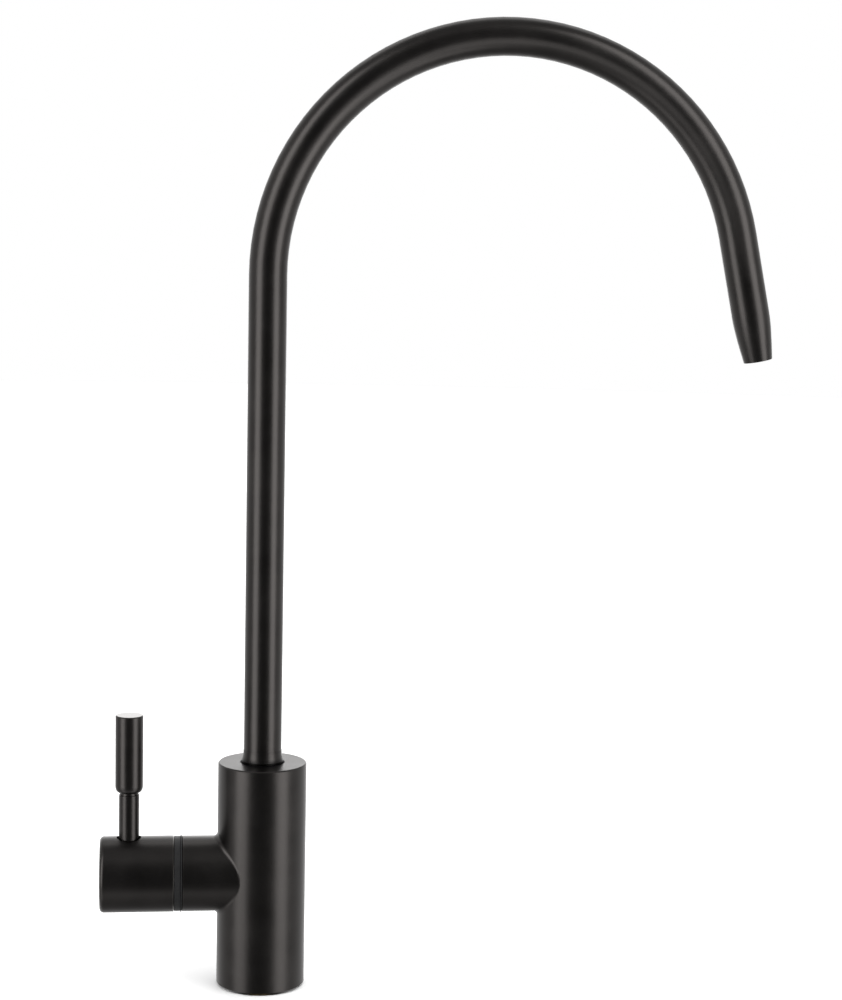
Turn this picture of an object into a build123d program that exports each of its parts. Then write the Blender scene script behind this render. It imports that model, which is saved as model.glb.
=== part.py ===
from build123d import *

import os
from math import cos, radians, sin

# Drinking water filter tap with a swan-neck spout and a quarter-turn valve in a side branch.
# The origin is the centre of the body's base, where it stands on the worktop.
# +Z is up along the spout's swivel axis, +X points at the outlet, and the valve branch runs along -X.
# Sizes are in millimetres and angles in degrees.

# Clearances
running_clearance = 0.05
fit_clearance = 0.02
seal_clearance = 0.03
overrun = 1.0

# Spout tube
tube_diameter = 12.7
tube_wall = 1.0
riser_length = 163.5
neck_radius = 79.6
neck_turn = 168.4
tail_length = 42.9
tip_length = 15.5
tip_shoulder = 4.8
tip_diameter = 9.7

# Collar on the tube, just above the body
collar_height = 3.9
collar_wall = 0.7
collar_lip_wall = 0.12
collar_edge = 0.5
collar_bend = 0.8
collar_gap = 0.25

# Body and valve branch. The head is the part of the body above the branch's axis.
body_diameter = 29.8
head_height = 38.3
body_top_chamfer = 0.4
base_chamfer = 0.9
branch_inset = 2.25
branch_height = 38.5
branch_length = 26.9
branch_wall = 3.63
branch_mouth_chamfer = 0.3
branch_root_fillet = 1.5

# Spout bearing in the body's top
glide_ring_wall = 1.1
glide_ring_height = 3.7
glide_ring_chamfer = 0.3
sleeve_wall = 0.75
sleeve_play = 0.2
sleeve_land = 0.8
sleeve_groove_width = 2.0
sleeve_groove_depth = 1.05
lock_groove_width = 3.2
lock_groove_depth = 0.9
thrust_washer_thickness = 1.0
thrust_washer_step = 0.4
outlet_plenum_depth = 2.5
plenum_wall = 3.0

# Waterways in the body
inlet_bore = 4.8
seat_wall = 1.2
outlet_bore = 4.0
outlet_bore_lead = 0.6

# Grub screws
grub_diameter = 5.0
grub_key = 2.5
grub_key_depth = 2.6
grub_end_chamfer = 0.4
spout_lock_sink = 0.8
spout_lock_gap = 0.3
lock_tip_play = 0.2
handle_grub_sink = 3.1

# Valve cartridge, in the branch
barrel_inset = 1.2
barrel_wall = 0.7
cartridge_seat_gap = 0.8
cartridge_seal_flange = 0.7
cartridge_groove_width = 2.1
cartridge_groove_depth = 1.7
cartridge_undercut_depth = 0.8
cartridge_undercut_length = 2.0
cartridge_hex_step = 0.5
cartridge_hex_length = 4.0
cartridge_hex_chamfer = 0.9
window_width = 7.0
window_lead = 0.4
disc_play = 0.2
disc_seal_lead = 0.2
disc_seal_thickness = 2.2
fixed_disc_thickness = 3.0
moving_disc_thickness = 2.8
port_inner_diameter = 4.4
port_rim = 1.4
port_web_angle = 104.0
stem_flange_play = 0.4
stem_flange_thickness = 2.4
drive_dog_width = 3.0
drive_dog_depth = 1.7
drive_dog_length = 1.2
drive_dog_play = 0.2
glide_washer_thickness = 0.8

# Valve stem
stem_diameter = 8.0
stem_groove_width = 2.0
stem_groove_depth = 1.1
stem_groove_lead = 1.6
stem_land = 1.4
clip_groove_depth = 0.7
clip_groove_width = 1.0
clip_groove_lead = 0.1
clip_thickness = 0.9
clip_width = 2.2
clip_opening = 5.0
stem_shoulder_length = 1.4
stem_end_step = 0.4
stem_end_length = 10.5
stem_flat_depth = 0.6
stem_end_chamfer = 0.4

# Bonnet ring between the branch and the handle
gasket_thickness = 0.4
gasket_proud = 0.2
bonnet_ring_thickness = 2.2
bonnet_ring_step = 0.1
bonnet_ring_chamfer = 0.15
bonnet_bore_clearance = 0.2

# Handle hub and lever
hub_gap = 0.05
hub_step = 0.1
hub_length = 24.75
hub_start_chamfer = 0.25
hub_end_fillet = 1.5
hub_cavity_gap = 0.7
hub_cavity_play = 0.4
hub_bore_end_gap = 0.5
lever_end_margin = 9.7
lever_seat_gap = 0.75
lever_seat_depth = 1.2
lever_hole_floor = 0.85
lever_stud_end_gap = 0.5
rod_diameter = 6.8
rod_length = 15.65
rod_neck_depth = 0.35
rod_neck_length = 1.0
rod_shoulder = 0.6
rod_spigot_length = 14.0
grip_diameter = 9.3
grip_length = 26.2
grip_foot_step = 0.3
grip_shoulder_length = 2.2
grip_shoulder_share = 0.25
grip_top_chamfer = 0.3
handle_grub_lead = 4.6

# Shank and fixings under the body
base_ring_margin = 3.15
base_ring_section = 1.9
base_groove_play = 0.25
shank_thread_diameter = 12.0
shank_engagement = 12.0
shank_socket_gap = 2.0
shank_spare = 2.5
shank_relief_depth = 0.45
shank_relief_length = 1.2
tail_thread_diameter = 11.1
tail_thread_length = 10.8
shank_end_chamfer = 0.6
tube_socket_diameter = 6.5
tube_socket_depth = 12.0
worktop_thickness = 25.0
rubber_washer_diameter = 30.0
rubber_washer_thickness = 3.0
metal_washer_diameter = 26.0
metal_washer_thickness = 1.5
washer_clearance = 0.25
nut_across_flats = 19.0
nut_height = 8.0
nut_corner_chamfer = 0.8

# Radii about the body's axis
tube_radius = tube_diameter / 2
tube_bore_radius = tube_radius - tube_wall
body_radius = body_diameter / 2
glide_ring_bore = tube_radius + running_clearance
glide_ring_radius = glide_ring_bore + glide_ring_wall
sleeve_radius = tube_radius + sleeve_wall
socket_radius = sleeve_radius + running_clearance
plenum_radius = tube_bore_radius + thrust_washer_step
base_ring_radius = body_radius - base_ring_margin
shank_radius = shank_thread_diameter / 2
tail_radius = tail_thread_diameter / 2
tube_socket_radius = tube_socket_diameter / 2
inlet_radius = inlet_bore / 2

# Radii about the branch's axis, from the outside in
branch_radius = body_radius - branch_inset
hub_radius = branch_radius + hub_step
chamber_radius = branch_radius - branch_wall
cartridge_radius = chamber_radius - fit_clearance
barrel_radius = cartridge_radius - barrel_inset
cartridge_bore_radius = barrel_radius - barrel_wall
cartridge_groove_radius = cartridge_radius - cartridge_groove_depth
cartridge_undercut_radius = cartridge_radius - cartridge_undercut_depth
cartridge_hex = 2 * (cartridge_radius - cartridge_hex_step)
disc_radius = cartridge_bore_radius - disc_play
port_radius = disc_radius - port_rim
stem_flange_radius = cartridge_bore_radius - stem_flange_play
stem_radius = stem_diameter / 2
stem_bore_radius = stem_radius + running_clearance
stem_groove_radius = stem_radius - stem_groove_depth
clip_groove_radius = stem_radius - clip_groove_depth
stem_end_radius = stem_radius - stem_end_step
hub_bore_radius = stem_end_radius + running_clearance

# Radii of the grub screws and of the lever
grub_radius = grub_diameter / 2
grub_hole_radius = grub_radius + fit_clearance
rod_radius = rod_diameter / 2
stud_radius = rod_radius - rod_shoulder
grip_radius = grip_diameter / 2

# Heights in the body, from the branch's axis up through the spout bearing
body_height = branch_height + head_height
plenum_floor = branch_height + chamber_radius + plenum_wall
socket_floor = plenum_floor + outlet_plenum_depth
sleeve_bottom = socket_floor + thrust_washer_thickness
lower_groove = sleeve_bottom + sleeve_land
upper_groove = lower_groove + sleeve_groove_width + sleeve_land
lock_groove = upper_groove + sleeve_groove_width + sleeve_land
lock_height = lock_groove + lock_groove_width / 2
tube_foot = lock_groove + lock_groove_width + sleeve_land
ring_floor = body_height - glide_ring_height
sleeve_top = ring_floor - sleeve_play
collar_foot = body_height + collar_gap
collar_top = collar_foot + collar_height

# Distances along the branch, from the body's axis out to the handle's end
seat_face = inlet_radius + seat_wall
outlet_bore_distance = seat_face + outlet_bore_lead
fixed_disc_face = seat_face + disc_seal_thickness
moving_disc_face = fixed_disc_face + fixed_disc_thickness
stem_flange_face = moving_disc_face + moving_disc_thickness
glide_washer_face = stem_flange_face + stem_flange_thickness
cartridge_shoulder = glide_washer_face + glide_washer_thickness
cartridge_start = seat_face + cartridge_seat_gap
seal_flange_end = cartridge_shoulder + cartridge_seal_flange
cartridge_thread_start = seal_flange_end + cartridge_groove_width
bonnet_ring_start = branch_length + gasket_thickness
hex_start = bonnet_ring_start + bonnet_ring_thickness
hex_end = hex_start + cartridge_hex_length
clip_groove_start = hex_end + clip_groove_lead
clip_groove_end = clip_groove_start + clip_groove_width
stem_shoulder = clip_groove_end + stem_shoulder_length
stem_end = stem_shoulder + stem_end_length
stem_bore_end = stem_end + hub_bore_end_gap
hub_start = hex_start + hub_gap
hub_end = hub_start + hub_length
cavity_end = stem_shoulder + hub_cavity_play
handle_grub_distance = cavity_end + handle_grub_lead
lever_distance = hub_end - lever_end_margin

# Heights on the lever, from the branch's axis up
lever_hole_end = hub_bore_radius + lever_hole_floor
lever_stud_end = lever_hole_end + lever_stud_end_gap
lever_seat = hub_radius - lever_seat_depth
grip_start = hub_radius + rod_length
grip_end = grip_start + grip_length

# Grub screws: where each tip stands, and the length from there to the sunk end
lock_screw_tip = socket_radius + spout_lock_gap
lock_screw_length = body_radius - spout_lock_sink - lock_screw_tip
stem_flat = stem_end_radius - stem_flat_depth
handle_grub_length = hub_radius - handle_grub_sink - stem_flat

# Heights of the fixings under the worktop
rubber_washer_top = -worktop_thickness
metal_washer_top = rubber_washer_top - rubber_washer_thickness
nut_top = metal_washer_top - metal_washer_thickness
nut_bottom = nut_top - nut_height
relief_start = nut_bottom - shank_spare
relief_end = relief_start - shank_relief_length
shank_end = relief_end - tail_thread_length

# Planes and axes. In a profile plane X is the distance from the axis and Y runs along the axis.
branch_plane = Plane(origin=(0, 0, branch_height), x_dir=(0, -1, 0), z_dir=(-1, 0, 0))
branch_profile = Plane(origin=(0, 0, branch_height), x_dir=(0, 0, 1), z_dir=(0, -1, 0))
branch_axis = Axis((0, 0, branch_height), (-1, 0, 0))
lever_profile = Plane(origin=(-lever_distance, 0, branch_height), x_dir=(1, 0, 0), z_dir=(0, -1, 0))
lever_axis = Axis((-lever_distance, 0, branch_height), (0, 0, 1))
lever_plane = Plane(origin=(-lever_distance, 0, branch_height))
spout_lock_plane = Plane(origin=(0, 0, lock_height), x_dir=(-1, 0, 0), z_dir=(0, 1, 0))
handle_grub_plane = Plane(origin=(-handle_grub_distance, 0, branch_height), x_dir=(1, 0, 0), z_dir=(0, 0, -1))


def turn(outline, plane=Plane.XZ, axis=Axis.Z, mode=Mode.ADD):
    """Turn a closed outline of (distance from the axis, place along it) points in the current part."""
    with BuildSketch(plane) as section:
        with BuildLine():
            Polyline(*outline, close=True)
        make_face()
    revolve(section.sketch, axis=axis, mode=mode)


def ring(inner_radius, outer_radius, start, end):
    """The outline of a plain ring."""
    return [(inner_radius, start), (outer_radius, start), (outer_radius, end), (inner_radius, end)]


def round_hole(plane, radius, start, end):
    """Drill a round hole along a plane's normal, from start to end above the plane."""
    with BuildSketch(plane.offset(start)) as section:
        Circle(radius)
    extrude(section.sketch, amount=end - start, mode=Mode.SUBTRACT)


def grub_screw(plane, tip, length):
    """A headless screw along a plane's normal, with its hexagon socket in the end away from the plane."""
    with BuildPart() as screw:
        with BuildSketch(plane.offset(tip)) as shaft:
            Circle(grub_radius)
        extrude(shaft.sketch, amount=length)
        chamfer(screw.edges(), length=grub_end_chamfer)
        with BuildSketch(plane.offset(tip + length - grub_key_depth)) as key:
            RegularPolygon(radius=grub_key / 2, side_count=6, major_radius=False)
        extrude(key.sketch, amount=grub_key_depth + overrun, mode=Mode.SUBTRACT)
    return screw


def corner_radius(across_flats):
    """The distance from a hexagon's axis to its corners."""
    return across_flats / 2 / cos(radians(30))


def hexagon_corners(across_flats, corner_chamfer, start, end):
    """The outline that rounds off the corners of a hexagon at both ends."""
    corner = corner_radius(across_flats)
    face = corner - corner_chamfer
    slope = corner_chamfer / 2
    return [
        (0, start),
        (face, start),
        (corner, start + slope),
        (corner, end - slope),
        (face, end),
        (0, end),
    ]


# Body housing: a round column with the valve branch, the spout socket, the inlet thread and the waterways
with BuildPart() as body_housing:
    with BuildSketch():
        Circle(body_radius)
    extrude(amount=body_height)
    chamfer(body_housing.edges().group_by(Axis.Z)[-1], length=body_top_chamfer)
    chamfer(body_housing.edges().group_by(Axis.Z)[0], length=base_chamfer)
    with BuildSketch(branch_plane):
        Circle(branch_radius)
    extrude(amount=branch_length)
    branch_root = body_housing.edges().filter_by(
        lambda edge: edge.geom_type not in (GeomType.LINE, GeomType.CIRCLE)
    )
    fillet(branch_root, radius=branch_root_fillet)
    chamfer(body_housing.edges().group_by(Axis.X)[0], length=branch_mouth_chamfer)
    # Spout socket: ring seat, bearing bore and outlet plenum
    turn(
        [
            (0, plenum_floor),
            (plenum_radius, plenum_floor),
            (plenum_radius, socket_floor),
            (socket_radius, socket_floor),
            (socket_radius, ring_floor),
            (glide_ring_radius + fit_clearance, ring_floor),
            (glide_ring_radius + fit_clearance, body_height + overrun),
            (0, body_height + overrun),
        ],
        mode=Mode.SUBTRACT,
    )
    # Threaded inlet socket and the inlet bore up to the branch's axis
    turn(
        [
            (0, -overrun),
            (shank_radius + fit_clearance, -overrun),
            (shank_radius + fit_clearance, shank_engagement + shank_socket_gap),
            (inlet_radius, shank_engagement + shank_socket_gap),
            (inlet_radius, branch_height + inlet_radius),
            (0, branch_height + inlet_radius),
        ],
        mode=Mode.SUBTRACT,
    )
    # Valve chamber and the bore through its seat
    turn(
        [
            (0, 0),
            (inlet_radius, 0),
            (inlet_radius, seat_face),
            (chamber_radius, seat_face),
            (chamber_radius, branch_length + overrun),
            (0, branch_length + overrun),
        ],
        branch_profile,
        branch_axis,
        Mode.SUBTRACT,
    )
    # Outlet bore from the top of the valve chamber to the plenum under the spout
    outlet_plane = Plane(origin=(-outlet_bore_distance, 0, branch_height))
    round_hole(outlet_plane, outlet_bore / 2, disc_radius, plenum_floor - branch_height + overrun)
    # Hole for the spout's lock screw, at the back
    round_hole(spout_lock_plane, grub_hole_radius, 0, body_radius + overrun)
    # Groove for the base seal
    turn(
        ring(
            base_ring_radius - base_ring_section / 2 - base_groove_play,
            base_ring_radius + base_ring_section / 2 + base_groove_play,
            -overrun,
            base_ring_section + seal_clearance,
        ),
        mode=Mode.SUBTRACT,
    )

# Base seal, pressed flush with the base
with BuildPart(Plane.XY.offset(base_ring_section / 2)) as base_o_ring:
    Torus(base_ring_radius, base_ring_section / 2)

# Threaded shank, with the tube socket in its lower end
with BuildPart() as threaded_shank:
    turn(
        [
            (inlet_radius, shank_engagement),
            (shank_radius - shank_end_chamfer, shank_engagement),
            (shank_radius, shank_engagement - shank_end_chamfer),
            (shank_radius, relief_start),
            (tail_radius - shank_relief_depth, relief_start),
            (tail_radius - shank_relief_depth, relief_end),
            (tail_radius, relief_end),
            (tail_radius, shank_end + shank_end_chamfer),
            (tail_radius - shank_end_chamfer, shank_end),
            (tube_socket_radius, shank_end),
            (tube_socket_radius, shank_end + tube_socket_depth),
            (inlet_radius, shank_end + tube_socket_depth),
        ]
    )

# Washers and nut that clamp the worktop
with BuildPart() as deck_rubber_washer:
    turn(
        ring(
            shank_radius + washer_clearance,
            rubber_washer_diameter / 2,
            metal_washer_top,
            rubber_washer_top,
        )
    )

with BuildPart() as deck_metal_washer:
    turn(ring(shank_radius + washer_clearance, metal_washer_diameter / 2, nut_top, metal_washer_top))

with BuildPart() as deck_nut:
    with BuildSketch(Plane.XY.offset(nut_bottom)):
        RegularPolygon(radius=nut_across_flats / 2, side_count=6, major_radius=False)
        Circle(shank_radius + fit_clearance, mode=Mode.SUBTRACT)
    extrude(amount=nut_height)
    turn(hexagon_corners(nut_across_flats, nut_corner_chamfer, nut_bottom, nut_top), mode=Mode.INTERSECT)

# Glide ring at the mouth of the spout socket, flush with the body's top
with BuildPart() as spout_glide_ring:
    turn(
        [
            (glide_ring_bore, ring_floor),
            (glide_ring_radius, ring_floor),
            (glide_ring_radius, body_height),
            (glide_ring_bore + glide_ring_chamfer, body_height),
            (glide_ring_bore, body_height - glide_ring_chamfer),
        ]
    )

# Thrust washer that the spout turns on
with BuildPart() as spout_thrust_washer:
    turn(ring(plenum_radius, sleeve_radius, socket_floor, sleeve_bottom))

# Sleeve on the tube's foot, with the tube's seat, the lock groove and two seal grooves
with BuildPart() as spout_base_sleeve:
    turn(ring(tube_bore_radius, sleeve_radius, sleeve_bottom, sleeve_top))
    turn(ring(0, tube_radius + fit_clearance, tube_foot, sleeve_top + overrun), mode=Mode.SUBTRACT)
    for groove, width, depth in (
        (lower_groove, sleeve_groove_width, sleeve_groove_depth),
        (upper_groove, sleeve_groove_width, sleeve_groove_depth),
        (lock_groove, lock_groove_width, lock_groove_depth),
    ):
        turn(ring(sleeve_radius - depth, sleeve_radius + overrun, groove, groove + width), mode=Mode.SUBTRACT)

# Seals in the sleeve's two grooves
with BuildPart() as spout_o_rings:
    sleeve_seal_radius = (socket_radius - sleeve_radius + sleeve_groove_depth) / 2 - seal_clearance
    for groove in (lower_groove, upper_groove):
        with Locations((0, 0, groove + sleeve_groove_width / 2)):
            Torus(socket_radius - seal_clearance - sleeve_seal_radius, sleeve_seal_radius)

# Spout tube: riser, large bend and tail, with the swaged tip
neck_height = body_height + riser_length
tail_direction = Vector(sin(radians(neck_turn)), 0, cos(radians(neck_turn)))
tail_side = Vector(-cos(radians(neck_turn)), 0, sin(radians(neck_turn)))
neck_end = Vector(neck_radius, 0, neck_height) + tail_side * neck_radius
tip_start = neck_end + tail_direction * (tail_length - tip_length)
tip_profile = Plane(origin=tip_start, x_dir=tail_side, z_dir=(0, 1, 0))
tip_axis = Axis(tip_start, tail_direction)


def spout_route():
    """The tube's centre line from its foot to the start of the tip."""
    riser = Line((0, 0, tube_foot), (0, 0, neck_height))
    middle = Vector(neck_radius, 0, neck_height) + Vector(
        -cos(radians(neck_turn / 2)), 0, sin(radians(neck_turn / 2))
    ) * neck_radius
    bend = ThreePointArc(riser @ 1, middle, neck_end)
    Line(bend @ 1, tip_start)


def tip_section(root_radius, end_radius, length):
    """Turn the tip's outline: it leaves the tube's wall smoothly and closes in to the end."""
    with BuildSketch(tip_profile) as section:
        with BuildLine():
            Line((0, 0), (root_radius, 0))
            Bezier((root_radius, 0), (root_radius, tip_shoulder), (end_radius, length))
            Line((end_radius, length), (0, length))
            Line((0, length), (0, 0))
        make_face()
    return revolve(section.sketch, axis=tip_axis, mode=Mode.PRIVATE)


with BuildPart() as spout_tube:
    with BuildLine() as route:
        spout_route()
    with BuildSketch(Plane.XY.offset(tube_foot)) as tube_section:
        Circle(tube_radius)
        Circle(tube_bore_radius, mode=Mode.SUBTRACT)
    sweep(tube_section.sketch, path=route.wires()[0])
    tip_outside = tip_section(tube_radius, tip_diameter / 2, tip_length)
    tip_inside = tip_section(tube_bore_radius, tip_diameter / 2 - tube_wall, tip_length)
    add(tip_outside - tip_inside)

# Collar brazed on the tube: a low flare that hides the socket
with BuildPart() as spout_collar:
    collar_bore = tube_radius + fit_clearance
    collar_radius = tube_radius + collar_wall
    collar_lip_radius = tube_radius + collar_lip_wall
    flare_start = collar_foot + collar_edge
    with BuildSketch(Plane.XZ):
        with BuildLine():
            Polyline(
                (collar_lip_radius, collar_top),
                (collar_bore, collar_top),
                (collar_bore, collar_foot),
                (collar_radius, collar_foot),
                (collar_radius, flare_start),
            )
            Bezier(
                (collar_radius, flare_start),
                (collar_lip_radius, flare_start + collar_bend),
                (collar_lip_radius, collar_top),
            )
        make_face()
    revolve(axis=Axis.Z)

# Lock screw at the back of the body, with a thin tip in the sleeve's lock groove
spout_lock_screw = grub_screw(spout_lock_plane, lock_screw_tip, lock_screw_length)
with spout_lock_screw:
    lock_tip_start = sleeve_radius - lock_groove_depth + lock_tip_play
    with BuildSketch(spout_lock_plane.offset(lock_tip_start)) as lock_tip:
        Circle(lock_groove_width / 2 - lock_tip_play)
    extrude(lock_tip.sketch, amount=lock_screw_tip - lock_tip_start)

# Headwork of the valve: barrel with side windows, seal groove, thread and hexagon
with BuildPart() as cartridge_housing:
    with BuildSketch(branch_plane.offset(hex_start)):
        RegularPolygon(radius=cartridge_hex / 2, side_count=6, major_radius=False)
    extrude(amount=cartridge_hex_length)
    turn(
        hexagon_corners(cartridge_hex, cartridge_hex_chamfer, hex_start, hex_end),
        branch_profile,
        branch_axis,
        Mode.INTERSECT,
    )
    turn(
        [
            (0, cartridge_start),
            (barrel_radius, cartridge_start),
            (barrel_radius, cartridge_shoulder),
            (cartridge_radius, cartridge_shoulder),
            (cartridge_radius, seal_flange_end),
            (cartridge_groove_radius, seal_flange_end),
            (cartridge_groove_radius, cartridge_thread_start),
            (cartridge_radius, cartridge_thread_start),
            (cartridge_radius, branch_length - cartridge_undercut_length),
            (cartridge_undercut_radius, branch_length - cartridge_undercut_length),
            (cartridge_undercut_radius, hex_start),
            (0, hex_start),
        ],
        branch_profile,
        branch_axis,
    )
    turn(
        [
            (0, cartridge_start - overrun),
            (cartridge_bore_radius, cartridge_start - overrun),
            (cartridge_bore_radius, cartridge_shoulder),
            (stem_bore_radius, cartridge_shoulder),
            (stem_bore_radius, hex_end + overrun),
            (0, hex_end + overrun),
        ],
        branch_profile,
        branch_axis,
        Mode.SUBTRACT,
    )
    with BuildSketch(branch_plane.offset(moving_disc_face + window_lead)):
        Rectangle(window_width, 2 * cartridge_radius)
    extrude(amount=stem_flange_face - moving_disc_face, mode=Mode.SUBTRACT)

# Seal between the headwork and the valve chamber
with BuildPart(branch_plane.offset(seal_flange_end + cartridge_groove_width / 2)) as cartridge_o_ring:
    cartridge_seal_radius = (chamber_radius - cartridge_groove_radius) / 2 - seal_clearance
    Torus(chamber_radius - seal_clearance - cartridge_seal_radius, cartridge_seal_radius)

# Rubber seal between the valve seat and the fixed disc
with BuildPart() as disc_seal:
    disc_seal_bore = port_radius + disc_seal_lead
    turn(ring(disc_seal_bore, disc_radius, seat_face, fixed_disc_face), branch_profile, branch_axis)


def disc_ports(plane, outer_radius, start_angle):
    """Two opposite ports, as ring sectors left between two wedges."""
    wedge_height = 2 * outer_radius
    wedge_half_width = wedge_height * sin(radians(port_web_angle / 2)) / cos(radians(port_web_angle / 2))
    with BuildSketch(plane) as ports:
        Circle(outer_radius)
        Circle(port_inner_diameter / 2, mode=Mode.SUBTRACT)
        with PolarLocations(0, 2, start_angle=start_angle):
            Polygon(
                (0, 0),
                (wedge_height, -wedge_half_width),
                (wedge_height, wedge_half_width),
                align=None,
                mode=Mode.SUBTRACT,
            )
    return ports.sketch


# Fixed ceramic disc, with its ports above and below the axis
with BuildPart() as fixed_ceramic_disc:
    with BuildSketch(branch_plane.offset(fixed_disc_face)):
        Circle(disc_radius)
    extrude(amount=fixed_disc_thickness)
    fixed_ports = disc_ports(branch_plane.offset(fixed_disc_face), port_radius, 0)
    extrude(fixed_ports, amount=fixed_disc_thickness, mode=Mode.SUBTRACT)

# Moving ceramic disc, closed at rest: its ports open to the rim at the sides, and it has slots for the stem's dogs
with BuildPart() as moving_ceramic_disc:
    with BuildSketch(branch_plane.offset(moving_disc_face)):
        Circle(disc_radius)
    extrude(amount=moving_disc_thickness)
    moving_ports = disc_ports(branch_plane.offset(moving_disc_face), disc_radius + overrun, 90)
    extrude(moving_ports, amount=moving_disc_thickness, mode=Mode.SUBTRACT)
    slot_depth = drive_dog_length + drive_dog_play
    with BuildSketch(branch_plane.offset(stem_flange_face - slot_depth)):
        with PolarLocations(disc_radius, 2, start_angle=90):
            Rectangle(2 * (drive_dog_depth + drive_dog_play), drive_dog_width + 2 * drive_dog_play)
    extrude(amount=slot_depth, mode=Mode.SUBTRACT)

# Valve stem: drive dogs, flange, seal grooves, clip groove and the flatted end in the hub
with BuildPart() as valve_stem:
    first_stem_groove = cartridge_shoulder + stem_groove_lead
    second_stem_groove = first_stem_groove + stem_groove_width + stem_land
    turn(
        [
            (0, stem_flange_face),
            (stem_flange_radius, stem_flange_face),
            (stem_flange_radius, glide_washer_face),
            (stem_radius, glide_washer_face),
            (stem_radius, stem_shoulder),
            (stem_end_radius, stem_shoulder),
            (stem_end_radius, stem_end - stem_end_chamfer),
            (stem_end_radius - stem_end_chamfer, stem_end),
            (0, stem_end),
        ],
        branch_profile,
        branch_axis,
    )
    for start, end, floor in (
        (first_stem_groove, first_stem_groove + stem_groove_width, stem_groove_radius),
        (second_stem_groove, second_stem_groove + stem_groove_width, stem_groove_radius),
        (clip_groove_start, clip_groove_end, clip_groove_radius),
    ):
        turn(ring(floor, stem_radius + overrun, start, end), branch_profile, branch_axis, Mode.SUBTRACT)
    with BuildSketch(branch_plane.offset(stem_flange_face - drive_dog_length)):
        with PolarLocations(stem_flange_radius - drive_dog_depth / 2, 2, start_angle=90):
            Rectangle(drive_dog_depth, drive_dog_width)
    extrude(amount=drive_dog_length)
    with BuildSketch(branch_plane.offset(stem_shoulder)):
        with Locations((0, -stem_flat)):
            Rectangle(stem_diameter, stem_diameter, align=(Align.CENTER, Align.MAX))
    extrude(amount=stem_end_length + overrun, mode=Mode.SUBTRACT)

# Seals in the stem's two grooves
with BuildPart(branch_plane) as stem_o_rings:
    stem_seal_radius = (stem_bore_radius - stem_groove_radius) / 2 - seal_clearance
    for groove in (first_stem_groove, second_stem_groove):
        with Locations((0, 0, groove + stem_groove_width / 2)):
            Torus(stem_bore_radius - seal_clearance - stem_seal_radius, stem_seal_radius)

# Glide washer between the stem's flange and the headwork's shoulder
with BuildPart() as stem_glide_washer:
    turn(
        ring(stem_bore_radius, stem_flange_radius, glide_washer_face, cartridge_shoulder),
        branch_profile,
        branch_axis,
    )

# Open clip that holds the stem in the headwork
with BuildPart() as stem_circlip:
    clip_start = clip_groove_start + (clip_groove_width - clip_thickness) / 2
    clip_radius = clip_groove_radius + clip_width
    with BuildSketch(branch_plane.offset(clip_start)):
        Circle(clip_radius)
        Circle(clip_groove_radius + fit_clearance, mode=Mode.SUBTRACT)
        Rectangle(clip_opening, 2 * clip_radius, align=(Align.CENTER, Align.MIN), mode=Mode.SUBTRACT)
    extrude(amount=clip_thickness)

# Thin gasket against the branch's mouth, and the bonnet ring that the headwork's hexagon clamps
bonnet_bore_radius = cartridge_undercut_radius + bonnet_bore_clearance
with BuildPart() as bonnet_gasket:
    turn(
        ring(bonnet_bore_radius, branch_radius + gasket_proud, branch_length, bonnet_ring_start),
        branch_profile,
        branch_axis,
    )

with BuildPart() as bonnet_ring:
    bonnet_ring_radius = branch_radius - bonnet_ring_step
    turn(
        [
            (bonnet_bore_radius, bonnet_ring_start),
            (bonnet_ring_radius - bonnet_ring_chamfer, bonnet_ring_start),
            (bonnet_ring_radius, bonnet_ring_start + bonnet_ring_chamfer),
            (bonnet_ring_radius, hex_start - bonnet_ring_chamfer),
            (bonnet_ring_radius - bonnet_ring_chamfer, hex_start),
            (bonnet_bore_radius, hex_start),
        ],
        branch_profile,
        branch_axis,
    )

# Handle hub: cavity over the hexagon, bore for the stem, seat for the lever and hole for its grub screw
with BuildPart() as handle_hub:
    cavity_radius = corner_radius(cartridge_hex) + hub_cavity_gap
    turn(
        [
            (0, hub_start),
            (hub_radius - hub_start_chamfer, hub_start),
            (hub_radius, hub_start + hub_start_chamfer),
            (hub_radius, hub_end),
            (0, hub_end),
        ],
        branch_profile,
        branch_axis,
    )
    fillet(handle_hub.edges().group_by(Axis.X)[0], radius=hub_end_fillet)
    turn(
        [
            (0, hub_start - overrun),
            (cavity_radius, hub_start - overrun),
            (cavity_radius, cavity_end),
            (hub_bore_radius, cavity_end),
            (hub_bore_radius, stem_bore_end),
            (0, stem_bore_end),
        ],
        branch_profile,
        branch_axis,
        Mode.SUBTRACT,
    )
    round_hole(lever_plane, rod_radius + lever_seat_gap, lever_seat, hub_radius + overrun)
    round_hole(lever_plane, stud_radius + fit_clearance, lever_hole_end, lever_seat + overrun)
    round_hole(handle_grub_plane, grub_hole_radius, 0, hub_radius + overrun)

# Grub screw that clamps the hub on the stem's flat, from below
handle_grub_screw = grub_screw(handle_grub_plane, stem_flat, handle_grub_length)

# Lever rod: stud in the hub, rod, fine neck and spigot in the grip
with BuildPart() as lever_rod:
    turn(
        [
            (0, lever_stud_end),
            (stud_radius, lever_stud_end),
            (stud_radius, lever_seat),
            (rod_radius, lever_seat),
            (rod_radius, grip_start - rod_neck_length),
            (rod_radius - rod_neck_depth, grip_start - rod_neck_length),
            (rod_radius - rod_neck_depth, grip_start),
            (stud_radius, grip_start),
            (stud_radius, grip_start + rod_spigot_length),
            (0, grip_start + rod_spigot_length),
        ],
        lever_profile,
        lever_axis,
    )

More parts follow.
